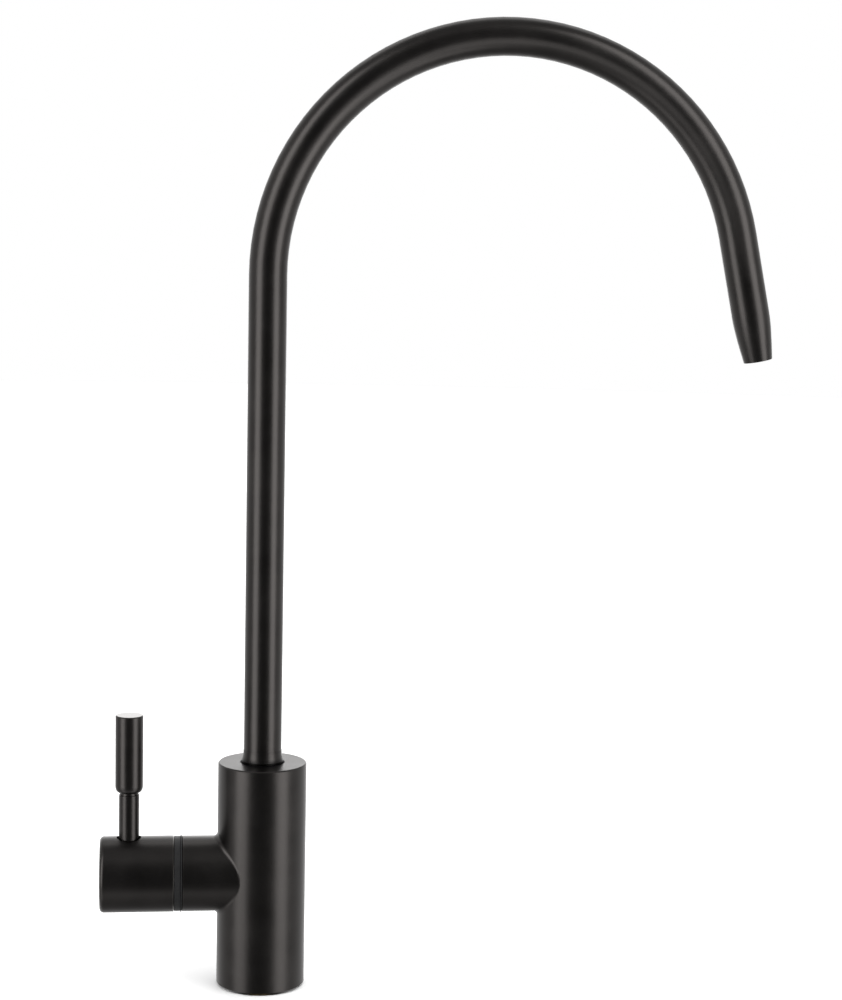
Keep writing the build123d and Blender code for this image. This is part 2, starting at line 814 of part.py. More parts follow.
# Lever grip: a round sleeve with a rounded shoulder at its foot
with BuildPart() as lever_grip:
    grip_foot_radius = rod_radius + grip_foot_step
    spigot_hole_radius = stud_radius + fit_clearance
    spigot_hole_end = grip_start + rod_spigot_length + fit_clearance
    shoulder_end = grip_start + grip_shoulder_length
    shoulder_bend = grip_start + grip_shoulder_length * grip_shoulder_share
    with BuildSketch(lever_profile):
        with BuildLine():
            Bezier(
                (grip_foot_radius, grip_start),
                (grip_radius, shoulder_bend),
                (grip_radius, shoulder_end),
            )
            Polyline(
                (grip_radius, shoulder_end),
                (grip_radius, grip_end - grip_top_chamfer),
                (grip_radius - grip_top_chamfer, grip_end),
                (0, grip_end),
                (0, spigot_hole_end),
                (spigot_hole_radius, spigot_hole_end),
                (spigot_hole_radius, grip_start),
                (grip_foot_radius, grip_start),
            )
        make_face()
    revolve(axis=lever_axis)

pieces = {
    "body_housing": body_housing,
    "base_o_ring": base_o_ring,
    "threaded_shank": threaded_shank,
    "deck_rubber_washer": deck_rubber_washer,
    "deck_metal_washer": deck_metal_washer,
    "deck_nut": deck_nut,
    "spout_glide_ring": spout_glide_ring,
    "spout_thrust_washer": spout_thrust_washer,
    "spout_base_sleeve": spout_base_sleeve,
    "spout_o_rings": spout_o_rings,
    "spout_tube": spout_tube,
    "spout_collar": spout_collar,
    "spout_lock_screw": spout_lock_screw,
    "cartridge_housing": cartridge_housing,
    "cartridge_o_ring": cartridge_o_ring,
    "disc_seal": disc_seal,
    "fixed_ceramic_disc": fixed_ceramic_disc,
    "moving_ceramic_disc": moving_ceramic_disc,
    "valve_stem": valve_stem,
    "stem_o_rings": stem_o_rings,
    "stem_glide_washer": stem_glide_washer,
    "stem_circlip": stem_circlip,
    "bonnet_gasket": bonnet_gasket,
    "bonnet_ring": bonnet_ring,
    "handle_hub": handle_hub,
    "handle_grub_screw": handle_grub_screw,
    "lever_rod": lever_rod,
    "lever_grip": lever_grip,
}

os.makedirs("parts", exist_ok=True)
for name, piece in pieces.items():
    piece.part.label = name
    export_step(piece.part, f"parts/{name}.step")
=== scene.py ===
from math import atan2, cos, pi, radians, sin, tan

import bmesh
import bpy
from mathutils import Matrix, Vector


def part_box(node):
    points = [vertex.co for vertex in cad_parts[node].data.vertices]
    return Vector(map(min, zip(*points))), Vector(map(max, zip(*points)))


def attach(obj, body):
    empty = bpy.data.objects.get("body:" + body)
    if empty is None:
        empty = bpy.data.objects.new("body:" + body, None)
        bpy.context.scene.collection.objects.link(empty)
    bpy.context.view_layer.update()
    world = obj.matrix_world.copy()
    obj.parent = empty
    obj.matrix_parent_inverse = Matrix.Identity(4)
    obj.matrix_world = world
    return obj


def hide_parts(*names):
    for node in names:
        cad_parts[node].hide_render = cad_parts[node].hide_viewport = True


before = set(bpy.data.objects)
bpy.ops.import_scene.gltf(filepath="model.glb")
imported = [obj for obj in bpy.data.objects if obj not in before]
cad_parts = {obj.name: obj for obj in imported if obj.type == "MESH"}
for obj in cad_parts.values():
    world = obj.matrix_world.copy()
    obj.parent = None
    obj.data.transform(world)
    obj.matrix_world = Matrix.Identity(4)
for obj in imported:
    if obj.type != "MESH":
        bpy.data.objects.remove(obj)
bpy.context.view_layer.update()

bl_info = {
    "name": "Drinking Water Filter Tap",
    "version": (1, 0, 0),
    "blender": (4, 5, 0),
    "location": "View3D > Sidebar > Filter Tap",
    "description": "Finishes a swan-neck filter tap: coatings, threads and a studio stage",
    "category": "Object",
}

# Pieces by finish

zinc_pieces = ("deck_metal_washer", "deck_nut", "stem_circlip")
rubber_pieces = (
    "base_o_ring",
    "deck_rubber_washer",
    "cartridge_o_ring",
    "disc_seal",
    "stem_o_rings",
    "spout_o_rings",
)

# Places taken from the solids

body_low, body_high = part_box("body_housing")
body_radius = body_high[1]
branch_end = body_low[0]
ring_low, ring_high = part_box("bonnet_ring")
branch_height = (ring_low[2] + ring_high[2]) / 2
shank_low, shank_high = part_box("threaded_shank")
lever_low, lever_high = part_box("lever_rod")
lever_distance = (lever_low[0] + lever_high[0]) / 2
lever_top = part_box("lever_grip")[1][2]
collar_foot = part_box("spout_collar")[0][2]
hub_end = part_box("handle_hub")[1][0]

# Widths and depths of the marks on the finishes, in metres

coating_drift_width = 0.011
metal_drift_width = 0.004
metal_grain_width = 0.0005
metal_grain_depth = 0.000003
turning_line_width = 0.00022
turning_line_depth = 0.000003
moulded_drift_width = 0.006
floor_grain_width = 0.02

# Fine lengths, in metres

column_margin = 0.0002
end_skin = 0.00002
end_blend = 0.00001
level_tolerance = 0.000001
floor_drop = 0.00002

# Tones of the surroundings by place from 0 to 1: front to back, low to high, and the second's share

around_tones = ((0.0, 0.05), (0.12, 0.07), (0.3, 0.27), (0.5, 0.49), (0.8, 0.76), (0.93, 0.9), (1.0, 2.2))
updown_tones = ((0.0, 0.24), (0.05, 0.30), (0.15, 0.64), (0.35, 0.5), (0.6, 0.25), (1.0, 0.28))
updown_shares = ((0.05, 1.0), (0.30, 0.0), (0.82, 0.0), (0.94, 1.0))


class CoatingSettings(bpy.types.PropertyGroup):
    """The satin black coating on the parts that show"""

    color: bpy.props.FloatVectorProperty(
        name="Coating Colour",
        description="Colour of the black coating",
        subtype="COLOR",
        size=3,
        min=0,
        max=1,
        default=(0.062, 0.058, 0.056),
    )
    color_spread: bpy.props.FloatProperty(
        name="Colour Spread",
        description="How much the coating's colour drifts over the surface",
        subtype="FACTOR",
        min=0,
        max=0.5,
        default=0.08,
    )
    roughness: bpy.props.FloatProperty(
        name="Roughness",
        description="How satin the coating is",
        subtype="FACTOR",
        min=0,
        max=1,
        default=0.33,
    )
    roughness_spread: bpy.props.FloatProperty(
        name="Roughness Spread",
        description="How much the roughness changes over the surface",
        subtype="FACTOR",
        min=0,
        max=0.5,
        default=0.05,
    )
    grain_size: bpy.props.FloatProperty(
        name="Grain Size",
        description="Width of the coating's fine grain",
        unit="LENGTH",
        min=0.00001,
        default=0.0004,
    )
    grain_depth: bpy.props.FloatProperty(
        name="Grain Depth",
        description="Depth of the coating's fine grain",
        unit="LENGTH",
        min=0,
        default=0.0000018,
    )
    line_width: bpy.props.FloatProperty(
        name="Line Width",
        description="Width of the polishing lines that the coating leaves showing",
        unit="LENGTH",
        min=0.00001,
        default=0.00035,
    )
    line_depth: bpy.props.FloatProperty(
        name="Line Depth",
        description="Depth of the polishing lines",
        unit="LENGTH",
        min=0,
        default=0.0000012,
    )
    # Painted shade: the collar's coating is darkened towards its foot, where it meets the body's top face
    painted_foot_shade_height: bpy.props.FloatProperty(
        name="Collar Shade",
        description="Height over which the coating darkens towards the collar's foot",
        unit="LENGTH",
        min=0.0001,
        default=0.0022,
    )
    painted_foot_shade_tone: bpy.props.FloatVectorProperty(
        name="Collar Shade Colour",
        description="Colour of the coating at the collar's foot",
        subtype="COLOR",
        size=3,
        min=0,
        max=1,
        default=(0.012, 0.012, 0.012),
    )
    # Painted highlight: a lighter line of colour at the hub's end and at the branch's end beside the ring,
    # standing in for the light those edges catch
    edge_highlight_width: bpy.props.FloatProperty(
        name="Worn Edge Width",
        description="Width of the lighter line at each edge beside the ring of the branch",
        unit="LENGTH",
        min=0.00001,
        default=0.0006,
    )
    edge_highlight_color: bpy.props.FloatVectorProperty(
        name="Worn Edge Colour",
        description="Colour of the coating where it is worn thin at those edges",
        subtype="COLOR",
        size=3,
        min=0,
        max=1,
        default=(0.18, 0.17, 0.163),
    )
    # Painted highlight: the grip's top end gets a lighter colour, standing in for the bright reflection on
    # its top face
    end_highlight_color: bpy.props.FloatVectorProperty(
        name="Grip End Colour",
        description="Colour of the grip's faced and polished end, where the coating is thin",
        subtype="COLOR",
        size=3,
        min=0,
        max=1,
        default=(0.19, 0.18, 0.175),
    )
    end_roughness: bpy.props.FloatProperty(
        name="Grip End Roughness",
        description="Roughness of the grip's faced and polished end",
        subtype="FACTOR",
        min=0,
        max=1,
        default=0.16,
    )


class FittingSettings(bpy.types.PropertyGroup):
    """Colours of the pieces inside the tap and under the worktop"""

    brass_color: bpy.props.FloatVectorProperty(
        name="Brass",
        description="Colour of bare turned brass",
        subtype="COLOR",
        size=3,
        min=0,
        max=1,
        default=(0.74, 0.54, 0.24),
    )
    zinc_color: bpy.props.FloatVectorProperty(
        name="Zinc Plate",
        description="Colour of the zinc plating on the nut and the washer",
        subtype="COLOR",
        size=3,
        min=0,
        max=1,
        default=(0.62, 0.63, 0.64),
    )
    oxide_color: bpy.props.FloatVectorProperty(
        name="Black Oxide",
        description="Colour of the grub screws",
        subtype="COLOR",
        size=3,
        min=0,
        max=1,
        default=(0.035, 0.035, 0.037),
    )
    rubber_color: bpy.props.FloatVectorProperty(
        name="Rubber",
        description="Colour of the seals and the rubber washer",
        subtype="COLOR",
        size=3,
        min=0,
        max=1,
        default=(0.022, 0.022, 0.023),
    )
    black_acetal_color: bpy.props.FloatVectorProperty(
        name="Black Acetal",
        description="Colour of the ring between the branch and the hub, and of its gasket",
        subtype="COLOR",
        size=3,
        min=0,
        max=1,
        default=(0.009, 0.009, 0.0095),
    )
    glide_ring_color: bpy.props.FloatVectorProperty(
        name="Glide Ring",
        description="Colour of the ring round the spout's foot",
        subtype="COLOR",
        size=3,
        min=0,
        max=1,
        default=(0.003, 0.003, 0.0033),
    )
    white_acetal_color: bpy.props.FloatVectorProperty(
        name="Natural Acetal",
        description="Colour of the hidden glide washers",
        subtype="COLOR",
        size=3,
        min=0,
        max=1,
        default=(0.83, 0.82, 0.78),
    )
    ceramic_color: bpy.props.FloatVectorProperty(
        name="Ceramic",
        description="Colour of the valve discs",
        subtype="COLOR",
        size=3,
        min=0,
        max=1,
        default=(0.87, 0.85, 0.79),
    )


class ShankSettings(bpy.types.PropertyGroup):
    """Sizes of the threaded shank under the body"""

    thread_diameter: bpy.props.FloatProperty(
        name="Shank Thread",
        description="Outside diameter of the shank's thread",
        unit="LENGTH",
        default=0.012,
    )
    thread_pitch: bpy.props.FloatProperty(
        name="Shank Pitch",
        description="Pitch of the shank's thread",
        unit="LENGTH",
        default=0.00125,
    )
    relief_diameter: bpy.props.FloatProperty(
        name="Relief",
        description="Diameter of the groove between the two threads",
        unit="LENGTH",
        default=0.0102,
    )
    relief_length: bpy.props.FloatProperty(
        name="Relief Length",
        description="Length of the groove between the two threads",
        unit="LENGTH",
        default=0.0012,
    )
    tail_diameter: bpy.props.FloatProperty(
        name="Tail Thread",
        description="Outside diameter of the tail's thread",
        unit="LENGTH",
        default=0.0111,
    )
    tail_length: bpy.props.FloatProperty(
        name="Tail Length",
        description="Length of the tail's thread",
        unit="LENGTH",
        default=0.0108,
    )
    tail_pitch: bpy.props.FloatProperty(
        name="Tail Pitch",
        description="Pitch of the tail's thread",
        unit="LENGTH",
        default=0.00106,
    )
    end_chamfer: bpy.props.FloatProperty(
        name="End Chamfer",
        description="Chamfer at the ends of the threads",
        unit="LENGTH",
        default=0.0006,
    )
    bore_diameter: bpy.props.FloatProperty(
        name="Bore",
        description="Diameter of the waterway",
        unit="LENGTH",
        default=0.0048,
    )
    socket_diameter: bpy.props.FloatProperty(
        name="Tube Socket",
        description="Diameter of the socket for the supply tube",
        unit="LENGTH",
        default=0.0065,
    )
    socket_depth: bpy.props.FloatProperty(
        name="Tube Socket Depth",
        description="Depth of the socket for the supply tube",
        unit="LENGTH",
        default=0.012,
    )


class StageSettings(bpy.types.PropertyGroup):
    """The floor, the lights and the camera"""

    floor_radius: bpy.props.FloatProperty(
        name="Floor Radius",
        description="Radius of the pale floor",
        unit="LENGTH",
        default=3.0,
    )
    floor_hole: bpy.props.FloatProperty(
        name="Floor Hole",
        description="Radius of the hole that the shank goes through",
        unit="LENGTH",
        default=0.0075,
    )
    floor_color: bpy.props.FloatVectorProperty(
        name="Floor Colour",
        description="Colour of the floor",
        subtype="COLOR",
        size=3,
        min=0,
        max=1,
        default=(0.92, 0.92, 0.92),
    )
    daylight: bpy.props.FloatProperty(
        name="Soft Light",
        description="Strength of the soft light from above",
        min=0,
        default=3.4,
    )
    daylight_angle: bpy.props.FloatProperty(
        name="Soft Light Angle",
        description="How wide the soft light from above is, seen from the tap",
        unit="ROTATION",
        default=radians(120),
    )
    strip_angle: bpy.props.FloatProperty(
        name="Strip Angle",
        description="Angle of each strip light from the camera's direction, seen from the tap",
        unit="ROTATION",
        default=radians(54),
    )
    strip_distance: bpy.props.FloatProperty(
        name="Strip Distance",
        description="Distance of the strip lights from the body",
        unit="LENGTH",
        default=1.3,
    )
    strip_width: bpy.props.FloatProperty(
        name="Strip Width",
        description="Width of each strip light",
        unit="LENGTH",
        default=0.74,
    )
    strip_top: bpy.props.FloatProperty(
        name="Strip Top",
        description="Height of each strip light's upper end above the floor",
        unit="LENGTH",
        default=2.2,
    )
    strip_bottom: bpy.props.FloatProperty(
        name="Strip Bottom",
        description="Height of each strip light's lower end, where the table's light starts",
        unit="LENGTH",
        default=-0.37,
    )
    glow_bottom: bpy.props.FloatProperty(
        name="Table Light Bottom",
        description="Height of the lower end of the light thrown back by the table",
        unit="LENGTH",
        default=-2.4,
    )
    strip_brightness: bpy.props.FloatProperty(
        name="Strip Brightness",
        description="Power of each strip light for a square metre",
        min=0,
        default=7.9,
    )
    glow_share: bpy.props.FloatProperty(
        name="Right Table Light Share",
        description="Brightness of the light thrown back by the table on the right, against the strips",
        subtype="FACTOR",
        min=0,
        max=1,
        default=0.4,
    )
    glow_share_left: bpy.props.FloatProperty(
        name="Left Table Light Share",
        description="Brightness of the light thrown back by the table on the left, against the strips",
        subtype="FACTOR",
        min=0,
        max=1,
        default=0.28,
    )
    top_place: bpy.props.FloatVectorProperty(
        name="Top Light Place",
        description="How far to the right, to the back and up the panel above the tap hangs",
        subtype="TRANSLATION",
        size=3,
        default=(0.0, 0.8, 1.45),
    )
    top_aim: bpy.props.FloatProperty(
        name="Top Light Aim",
        description="Height above the floor that the panel above the tap faces",
        unit="LENGTH",
        default=0.15,
    )
    top_size: bpy.props.FloatVectorProperty(
        name="Top Light Size",
        description="Width and depth of the panel above the tap",
        unit="LENGTH",
        size=2,
        min=0,
        default=(1.4, 0.45),
    )
    top_brightness: bpy.props.FloatProperty(
        name="Top Light",
        description="Power for a square metre of the panel above and behind the tap",
        min=0,
        default=3.0,
    )
    front_place: bpy.props.FloatVectorProperty(
        name="Front Light Place",
        description="How far to the right, to the back and up the low panel in front lies",
        subtype="TRANSLATION",
        size=3,
        default=(0.40, -0.15, 0.24),
    )
    front_size: bpy.props.FloatVectorProperty(
        name="Front Light Size",
        description="Width and depth of the low panel in front",
        unit="LENGTH",
        size=2,
        min=0,
        default=(0.62, 0.22),
    )
    front_brightness: bpy.props.FloatProperty(
        name="Front Light",
        description="Power for a square metre of the low panel in front, which only the neck sees",
        min=0,
        default=2.6,
    )
    camera_place: bpy.props.FloatVectorProperty(
        name="Camera Place",
        description="Where the camera stands",
        subtype="TRANSLATION",
        size=3,
        default=(-0.036526, -0.746407, 0.255131),
    )
    camera_yaw: bpy.props.FloatProperty(
        name="Camera Yaw",
        description="Turn of the camera to the right of the tap's back",
        unit="ROTATION",
        default=radians(6.773),
    )
    camera_pitch: bpy.props.FloatProperty(
        name="Camera Pitch",
        description="Tilt of the camera above the horizon",
        unit="ROTATION",
        default=radians(-6.756),
    )
    camera_roll: bpy.props.FloatProperty(
        name="Camera Roll",
        description="Turn of the camera about its line of sight",
        unit="ROTATION",
        default=radians(1.135),
    )
    camera_lens: bpy.props.FloatProperty(
        name="Camera Lens",
        description="Focal length in millimetres",
        unit="CAMERA",
        default=81.178,
    )
    camera_sensor: bpy.props.FloatProperty(
        name="Camera Sensor",
        description="Length of the picture's longer side on the sensor, in millimetres",
        unit="CAMERA",
        default=36,
    )
    camera_near: bpy.props.FloatProperty(
        name="Nearest Distance",
        description="Nearest distance that the camera shows",
        unit="LENGTH",
        default=0.01,
    )
    camera_far: bpy.props.FloatProperty(
        name="Farthest Distance",
        description="Farthest distance that the camera shows",
        unit="LENGTH",
        default=20,
    )


# Finishes

def new_finish(name):
    """An empty node material with its output and its shader"""
    finish = bpy.data.materials.new(name)
    finish.use_nodes = True
    tree = finish.node_tree
    tree.nodes.clear()
    output = tree.nodes.new("ShaderNodeOutputMaterial")
    output.location = (400, 0)
    shader = tree.nodes.new("ShaderNodeBsdfPrincipled")
    shader.location = (100, 0)
    tree.links.new(shader.outputs["BSDF"], output.inputs["Surface"])
    return finish, tree, shader


def object_place(tree):
    """Object coordinates, in metres"""
    place = tree.nodes.new("ShaderNodeTexCoord")
    place.location = (-1300, 0)
    return place.outputs["Object"]


def calculate(tree, operation, first, second=None, spot=(0, 0)):
    """A Math node on one or two values or sockets"""
    node = tree.nodes.new("ShaderNodeMath")
    node.operation = operation
    node.location = spot
    for socket, value in zip(node.inputs, (first, second)):
        if value is None:
            continue
        if isinstance(value, (int, float)):
            socket.default_value = value
        else:
            tree.links.new(value, socket)
    return node.outputs[0]


def speckle(tree, place, width, detail=2.0, spot=(0, 0)):
    """A noise from 0 to 1 whose spots are about that wide"""
    node = tree.nodes.new("ShaderNodeTexNoise")
    node.location = spot
    node.inputs["Scale"].default_value = 1 / width
    node.inputs["Detail"].default_value = detail
    tree.links.new(place, node.inputs["Vector"])
    return node.outputs["Fac"]


def rings(tree, along, width, spot=(0, 0)):
    """Fine lines across the way that the coordinate grows"""
    node = tree.nodes.new("ShaderNodeTexNoise")
    node.noise_dimensions = "1D"
    node.location = spot
    node.inputs["Scale"].default_value = 1 / width
    node.inputs["Detail"].default_value = 3.0
    tree.links.new(along, node.inputs["W"])
    return node.outputs["Fac"]


def spread(tree, value, low, high, spot=(0, 0)):
    """A noise value stretched to run from low to high"""
    node = tree.nodes.new("ShaderNodeMapRange")
    node.location = spot
    node.inputs["From Min"].default_value = 0.3
    node.inputs["From Max"].default_value = 0.7
    node.inputs["To Min"].default_value = low
    node.inputs["To Max"].default_value = high
    tree.links.new(value, node.inputs["Value"])
    return node.outputs["Result"]


def two_tone(tree, share, color, amount, spot=(0, 0)):
    """The colour made a little darker and lighter by turns"""
    node = tree.nodes.new("ShaderNodeMix")
    node.data_type = "RGBA"
    node.location = spot
    node.inputs["A"].default_value = (*[c * (1 - amount) for c in color], 1)
    node.inputs["B"].default_value = (*[min(c * (1 + amount), 1) for c in color], 1)
    tree.links.new(share, node.inputs["Factor"])
    return node.outputs["Result"]


def relief(tree, height, depth, before=None, spot=(0, 0)):
    """A bump of that depth, in metres, on top of the one before"""
    node = tree.nodes.new("ShaderNodeBump")
    node.location = spot
    node.inputs["Strength"].default_value = 1.0
    node.inputs["Distance"].default_value = depth
    tree.links.new(height, node.inputs["Height"])
    if before is not None:
        tree.links.new(before, node.inputs["Normal"])
    return node.outputs["Normal"]


def split_place(tree, place, spot):
    """The three parts of a place"""
    split = tree.nodes.new("ShaderNodeSeparateXYZ")
    split.location = spot
    tree.links.new(place, split.inputs[0])
    return split.outputs


def turned_length(tree, place, axis, centre=(0, 0, 0), row=0):
    """The distance along a turned piece's outline, and the distance out from its axis"""
    shift = tree.nodes.new("ShaderNodeVectorMath")
    shift.operation = "SUBTRACT"
    shift.location = (-1100, row)
    shift.inputs[1].default_value = centre
    tree.links.new(place, shift.inputs[0])
    parts = split_place(tree, shift.outputs[0], (-950, row))
    others = [name for name in "XYZ" if name != axis]
    first = calculate(tree, "POWER", parts[others[0]], 2.0, (-800, row))
    second = calculate(tree, "POWER", parts[others[1]], 2.0, (-800, row - 160))
    both = calculate(tree, "ADD", first, second, (-650, row))
    radius = calculate(tree, "SQRT", both, None, (-500, row))
    return calculate(tree, "ADD", parts[axis], radius, (-350, row)), radius


def tint(tree, shader, drift, color, amount):
    """Colour that drifts a little over the surface"""
    share = spread(tree, drift, 0, 1, (-300, 400))
    tree.links.new(two_tone(tree, share, color, amount, (-120, 400)), shader.inputs["Base Color"])


def roughen(tree, shader, drift, detail, roughness, below, above, fine):
    """Roughness that drifts from below to above its middle, with a fine change either way"""
    cloudy = spread(tree, drift, roughness - below, roughness + above, (-300, 150))
    grainy = spread(tree, detail, -fine, fine, (-300, -50))
    tree.links.new(calculate(tree, "ADD", cloudy, grainy, (-120, 100)), shader.inputs["Roughness"])


def coating(made, place, settings, along=None):
    """The satin black coating, with faint lines where a piece was turned and polished"""
    finish, tree, shader = made
    drift = speckle(tree, place, coating_drift_width, 3.0, (-500, 400))
    grain = speckle(tree, place, settings.grain_size, 2.0, (-500, -500))
    tint(tree, shader, drift, settings.color, settings.color_spread)
    half = settings.roughness_spread / 2
    roughen(tree, shader, drift, grain, settings.roughness, below=half, above=half, fine=half)
    shader.inputs["Metallic"].default_value = 1.0
    normal = relief(tree, grain, settings.grain_depth, None, (-300, -500))
    if along is not None:
        lines = rings(tree, along, settings.line_width, (-500, -750))
        normal = relief(tree, lines, settings.line_depth, normal, (-120, -600))
    tree.links.new(normal, shader.inputs["Normal"])
    return finish


def painted_light_band(made, place, axis, start, end, color):
    """Paints shade or a highlight into the coating: changes its colour from one place on an axis to another
    """
    tree, shader = made[1], made[2]
    share = tree.nodes.new("ShaderNodeMapRange")
    share.location = (-500, 900)
    share.interpolation_type = "SMOOTHSTEP"
    share.inputs["From Min"].default_value = start
    share.inputs["From Max"].default_value = end
    tree.links.new(split_place(tree, place, (-700, 900))[axis], share.inputs["Value"])
    tone = tree.nodes.new("ShaderNodeMix")
    tone.data_type = "RGBA"
    tone.location = (-100, 700)
    tone.inputs["B"].default_value = (*color, 1)
    tree.links.new(shader.inputs["Base Color"].links[0].from_socket, tone.inputs["A"])
    tree.links.new(share.outputs["Result"], tone.inputs["Factor"])
    tree.links.new(tone.outputs["Result"], shader.inputs["Base Color"])


def bare_metal(name, color, roughness, axis, centre=(0, 0, 0), tone=0.10):
    """Turned metal: colour that drifts, a fine grain and turning lines"""
    finish, tree, shader = new_finish(name)
    place = object_place(tree)
    along = turned_length(tree, place, axis, centre, -700)[0]
    drift = speckle(tree, place, metal_drift_width, 4.0, (-500, 400))
    grain = speckle(tree, place, metal_grain_width, 2.0, (-500, -400))
    lines = rings(tree, along, turning_line_width, (-200, -700))
    tint(tree, shader, drift, color, tone)
    roughen(tree, shader, drift, lines, roughness, below=0.05, above=0.06, fine=0.04)
    shader.inputs["Metallic"].default_value = 1.0
    normal = relief(tree, grain, metal_grain_depth, None, (-300, -450))
    tree.links.new(relief(tree, lines, turning_line_depth, normal, (-120, -600)), shader.inputs["Normal"])
    return finish


def moulded(name, color, roughness, grain_width, grain_depth, tone=0.06, ior=1.5):
    """Moulded or sintered material: a matt skin with a fine grain"""
    finish, tree, shader = new_finish(name)
    place = object_place(tree)
    drift = speckle(tree, place, moulded_drift_width, 3.0, (-500, 400))
    grain = speckle(tree, place, grain_width, 3.0, (-500, -300))
    tint(tree, shader, drift, color, tone)
    roughen(tree, shader, drift, grain, roughness, below=0.04, above=0.04, fine=0.05)
    shader.inputs["IOR"].default_value = ior
    tree.links.new(relief(tree, grain, grain_depth, None, (-120, -300)), shader.inputs["Normal"])
    return finish


def put_on(finish, *names):
    """Gives the finish to these solids"""
    for name in names:
        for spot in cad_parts[name].material_slots:
            spot.material = finish


class FILTER_TAP_OT_coat_body(bpy.types.Operator):
    """Coat the body, with polishing lines round the column and round the branch"""

    bl_idname = "filter_tap.coat_body"
    bl_label = "Coat Body"
    bl_options = {"REGISTER", "UNDO"}

    def execute(self, context):
        settings = context.scene.filter_tap_coating
        made = new_finish("satin_black_body")
        tree = made[1]
        place = object_place(tree)
        upright, column_radius = turned_length(tree, place, "Z", (0, 0, 0), -200)
        sideways = turned_length(tree, place, "X", (0, 0, branch_height), -900)[0]
        on_branch = calculate(tree, "GREATER_THAN", column_radius, body_radius + column_margin, (-350, -1100))
        choice = tree.nodes.new("ShaderNodeMix")
        choice.location = (-200, -1000)
        tree.links.new(on_branch, choice.inputs["Factor"])
        tree.links.new(upright, choice.inputs["A"])
        tree.links.new(sideways, choice.inputs["B"])
        put_on(coating(made, place, settings, choice.outputs["Result"]), "body_housing")
        # Painted highlight: a lighter line of colour at the branch's end beside the ring
        painted_light_band(made, place, "X", branch_end + settings.edge_highlight_width, branch_end, settings.edge_highlight_color)
        return {"FINISHED"}


class FILTER_TAP_OT_coat_handle(bpy.types.Operator):
    """Coat the hub, which is turned sideways, and the lever, which is turned upright"""

    bl_idname = "filter_tap.coat_handle"
    bl_label = "Coat Handle"
    bl_options = {"REGISTER", "UNDO"}

    def execute(self, context):
        settings = context.scene.filter_tap_coating
        centre = (0, 0, branch_height)
        hub, place = self.coat_turned("satin_black_hub", settings, "X", centre, "handle_hub")
        # Painted highlight: a lighter line of colour at the hub's end beside the ring
        painted_light_band(hub, place, "X", hub_end - settings.edge_highlight_width, hub_end, settings.edge_highlight_color)
        centre = (lever_distance, 0, 0)
        lever, place = self.coat_turned("satin_black_lever", settings, "Z", centre, "lever_rod", "lever_grip")
        self.polish_and_highlight_end(lever, place, settings)
        return {"FINISHED"}

    def coat_turned(self, name, settings, axis, centre, *pieces):
        made = new_finish(name)
        place = object_place(made[1])
        along = turned_length(made[1], place, axis, centre, -700)[0]
        put_on(coating(made, place, settings, along), *pieces)
        return made, place

    def polish_and_highlight_end(self, made, place, settings):
        tree, shader = made[1], made[2]
        end = lever_top - end_skin
        on_end = calculate(tree, "GREATER_THAN", split_place(tree, place, (-700, 700))["Z"], end, (-500, 700))
        rough = tree.nodes.new("ShaderNodeMix")
        rough.location = (-100, 100)
        rough.inputs["B"].default_value = settings.end_roughness
        tree.links.new(shader.inputs["Roughness"].links[0].from_socket, rough.inputs["A"])
        tree.links.new(on_end, rough.inputs["Factor"])
        tree.links.new(rough.outputs["Result"], shader.inputs["Roughness"])
        # Painted highlight: a lighter colour on the grip's top end; the lower roughness set above is the
        # end's own finish
        painted_light_band(made, place, "Z", end - end_blend, end + end_blend, settings.end_highlight_color)


class FILTER_TAP_OT_coat_spout(bpy.types.Operator):
    """Coat the bent spout tube and its collar, which are polished and have no turning lines, with painted
    shade darkening the collar towards its foot
    """

    bl_idname = "filter_tap.coat_spout"
    bl_label = "Coat Spout"
    bl_options = {"REGISTER", "UNDO"}

    def execute(self, context):
        settings = context.scene.filter_tap_coating
        made = new_finish("satin_black_spout")
        put_on(coating(made, object_place(made[1]), settings), "spout_tube")
        made = new_finish("satin_black_collar")
        place = object_place(made[1])
        put_on(coating(made, place, settings), "spout_collar")
        # Painted shade: darkens the collar's coating from this height down to its foot
        top_of_painted_shade = collar_foot + settings.painted_foot_shade_height
        painted_light_band(made, place, "Z", top_of_painted_shade, collar_foot, settings.painted_foot_shade_tone)
        return {"FINISHED"}


class FILTER_TAP_OT_finish_metals(bpy.types.Operator):
    """Give the bare brass, the zinc plate and the oxide-black screws their finishes"""

    bl_idname = "filter_tap.finish_metals"
    bl_label = "Finish Metals"
    bl_options = {"REGISTER", "UNDO"}

    def execute(self, context):
        settings = context.scene.filter_tap_fitting
        brass = settings.brass_color
        sleeve = bare_metal("brass_sleeve", brass, roughness=0.28, axis="Z")
        valve = bare_metal("brass_valve", brass, roughness=0.26, axis="X", centre=(0, 0, branch_height))
        zinc = bare_metal("zinc_plate", settings.zinc_color, roughness=0.34, axis="Z", tone=0.16)
        oxide = bare_metal("black_oxide", settings.oxide_color, roughness=0.42, axis="Y", tone=0.2)
        put_on(sleeve, "spout_base_sleeve")
        put_on(valve, "cartridge_housing", "valve_stem")
        put_on(zinc, *zinc_pieces)
        put_on(oxide, "spout_lock_screw", "handle_grub_screw")
        return {"FINISHED"}


